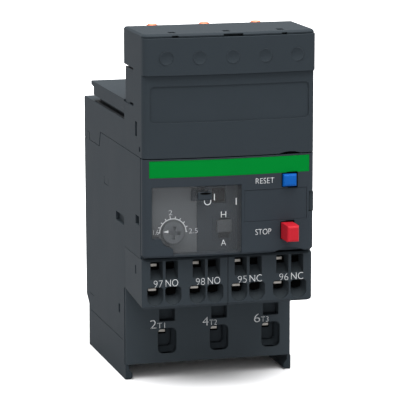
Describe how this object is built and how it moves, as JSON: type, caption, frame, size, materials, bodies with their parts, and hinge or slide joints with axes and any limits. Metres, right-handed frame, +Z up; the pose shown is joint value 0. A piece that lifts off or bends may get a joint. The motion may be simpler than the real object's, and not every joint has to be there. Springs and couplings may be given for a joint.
{
  "type": "thermal overload relay",
  "caption": "Plug-in thermal overload relay: L-shaped housing with contactor pins, a setting dial under a clear cover, reset and stop buttons, and spring terminals.",
  "frame": {"origin": "middle of the bounding box at the underside of the two side skirts", "axes": "front faces -Y, +X to the right seen from the front, +Z up"},
  "size_m": [0.045, 0.072, 0.0927],
  "materials": {
    "housing_plastic": "fine matt moulded, dark grey",
    "panel_plastic": "fine matt moulded, dark blue grey",
    "block_plastic": "fine matt moulded, near black grey",
    "stripe_green": "flat green inlay",
    "scale_grey": "matt mid grey",
    "clear_cover": "tinted clear plastic",
    "dial_grey": "matt grey",
    "reset_blue": "satin blue",
    "stop_red": "satin red",
    "flag_brown": "dark brown",
    "mechanism_white": "natural nylon",
    "copper": "bright copper",
    "bimetal_steel": "rolled strip",
    "heater_wire": "resistance ribbon",
    "sleeve_glass": "woven glass sleeve",
    "spring_steel": "spring band"
  },
  "bodies": {
    "housing": {"base_housing": "housing_plastic", "top_housing": "housing_plastic", "rear_insert": "housing_plastic", "shelf_plate": "housing_plastic", "cover_strip": "housing_plastic", "front_panel": "panel_plastic", "marker_plate": "panel_plastic", "power_block": "block_plastic", "control_block_no": "block_plastic", "control_block_nc": "block_plastic", "name_stripe": "stripe_green", "scale_plate": "scale_grey", "mechanism_frame": "mechanism_white", "pole_pin_1": "copper", "pole_pin_2": "copper", "pole_pin_3": "copper", "input_strap_1": "copper", "input_strap_2": "copper", "input_strap_3": "copper", "output_bar_1": "copper", "output_bar_2": "copper", "output_bar_3": "copper", "busbar_97": "copper", "busbar_98": "copper", "busbar_95": "copper", "busbar_96": "copper", "power_clamp_1": "spring_steel", "power_clamp_2": "spring_steel", "power_clamp_3": "spring_steel", "control_clamps_no": "spring_steel", "control_clamps_nc": "spring_steel"},
    "window": {"window_cover": "clear_cover"},
    "dial": {"setting_dial": "dial_grey", "dial_cam": "mechanism_white"},
    "adjuster": {"adjust_shaft": "mechanism_white"},
    "comp_lever": {"compensation_lever": "bimetal_steel"},
    "upper_slide": {"main_slide": "mechanism_white", "differential_lever": "mechanism_white"},
    "lower_slide": {"differential_slide": "mechanism_white"},
    "bimetal_left": {"bimetal_1": "bimetal_steel", "heater_sleeve_1": "sleeve_glass", "heater_1": "heater_wire"},
    "bimetal_middle": {"bimetal_2": "bimetal_steel", "heater_sleeve_2": "sleeve_glass", "heater_2": "heater_wire"},
    "bimetal_right": {"bimetal_3": "bimetal_steel", "heater_sleeve_3": "sleeve_glass", "heater_3": "heater_wire"},
    "rocker": {"trip_lever": "mechanism_white"},
    "carrier": {"contact_carrier": "mechanism_white", "no_bridge": "copper"},
    "break_bridge": {"nc_bridge": "copper"},
    "flag": {"trip_flag": "flag_brown"},
    "selector": {"selector_knob": "dial_grey"},
    "test": {"test_slider": "dial_grey"},
    "reset": {"reset_button": "reset_blue"},
    "stop": {"stop_button": "stop_red"}
  },
  "joints": [
    {"name": "cover_hinge", "type": "hinge", "parent": "housing", "child": "window", "pos_m": [-0.01975, -0.02925, 0.047], "axis": [0, 0, -1], "range_deg": [0, 90]},
    {"name": "dial_turn", "type": "hinge", "parent": "housing", "child": "dial", "pos_m": [-0.01425, -0.02825, 0.0421], "axis": [0, 1, 0], "range_deg": [0, 180]},
    {"name": "adjuster_turn", "type": "hinge", "parent": "housing", "child": "adjuster", "pos_m": [-0.0185, -0.01325, 0.05], "axis": [0, 1, 0], "range_deg": [0, 3.73]},
    {"name": "compensation_turn", "type": "hinge", "parent": "adjuster", "child": "comp_lever", "pos_m": [-0.0185, 0.02055, 0.044], "axis": [0, 1, 0], "range_deg": [0, 5]},
    {"name": "bimetal_left_bend", "type": "hinge", "parent": "housing", "child": "bimetal_left", "pos_m": [-0.01165, 0.02055, 0.0555], "axis": [0, 1, 0], "range_deg": [0, 2.6], "stiffness_Nm_per_rad": 0.2},
    {"name": "bimetal_middle_bend", "type": "hinge", "parent": "housing", "child": "bimetal_middle", "pos_m": [0.00245, 0.02055, 0.0555], "axis": [0, 1, 0], "range_deg": [0, 2.6], "stiffness_Nm_per_rad": 0.2},
    {"name": "bimetal_right_bend", "type": "hinge", "parent": "housing", "child": "bimetal_right", "pos_m": [0.01655, 0.02055, 0.0555], "axis": [0, 1, 0], "range_deg": [0, 2.6], "stiffness_Nm_per_rad": 0.2},
    {"name": "upper_slide_travel", "type": "slide", "parent": "housing", "child": "upper_slide", "axis": [-1, 0, 0], "range_m": [0, 0.00125]},
    {"name": "lower_slide_travel", "type": "slide", "parent": "housing", "child": "lower_slide", "axis": [-1, 0, 0], "range_m": [0, 0.00125]},
    {"name": "rocker_turn", "type": "hinge", "parent": "housing", "child": "rocker", "pos_m": [0, -0.00655, 0.056], "axis": [1, 0, 0], "range_deg": [0, 10.64]},
    {"name": "carrier_travel", "type": "slide", "parent": "housing", "child": "carrier", "axis": [0, 1, 0], "range_m": [0, 0.00168]},
    {"name": "break_bridge_travel", "type": "slide", "parent": "carrier", "child": "break_bridge", "axis": [0, 1, 0], "range_m": [0, 0.0018]},
    {"name": "flag_travel", "type": "slide", "parent": "housing", "child": "flag", "axis": [-1, 0, 0], "range_m": [0, 0.0041]},
    {"name": "selector_travel", "type": "slide", "parent": "housing", "child": "selector", "axis": [0, 0, -1], "range_m": [0, 0.0014]},
    {"name": "test_travel", "type": "slide", "parent": "housing", "child": "test", "axis": [1, 0, 0], "range_m": [0, 0.0014], "stiffness_N_per_m": 150},
    {"name": "reset_press", "type": "slide", "parent": "housing", "child": "reset", "axis": [0, 1, 0], "range_m": [0, 0.002], "stiffness_N_per_m": 300},
    {"name": "stop_press", "type": "slide", "parent": "housing", "child": "stop", "axis": [0, 1, 0], "range_m": [0, 0.0018], "stiffness_N_per_m": 300}
  ],
  "couplings": [
    {"joint": "adjuster_turn", "follows": "dial_turn", "ratio": 0.02016},
    {"joint": "bimetal_left_bend", "follows": "bimetal_middle_bend", "ratio": 1},
    {"joint": "bimetal_right_bend", "follows": "bimetal_middle_bend", "ratio": 1},
    {"joint": "upper_slide_travel", "follows": "bimetal_middle_bend", "m_per_rad": 0.026},
    {"joint": "lower_slide_travel", "follows": "bimetal_middle_bend", "m_per_rad": 0.026},
    {"joint": "compensation_turn", "follows": "bimetal_middle_bend", "ratio": 1.7333},
    {"joint": "rocker_turn", "follows": "bimetal_middle_bend", "ratio": 4.0546},
    {"joint": "carrier_travel", "follows": "bimetal_middle_bend", "m_per_rad": 0.034667},
    {"joint": "flag_travel", "follows": "bimetal_middle_bend", "m_per_rad": 0.0845},
    {"joint": "break_bridge_travel", "follows": "stop_press", "ratio": 1}
  ]
}
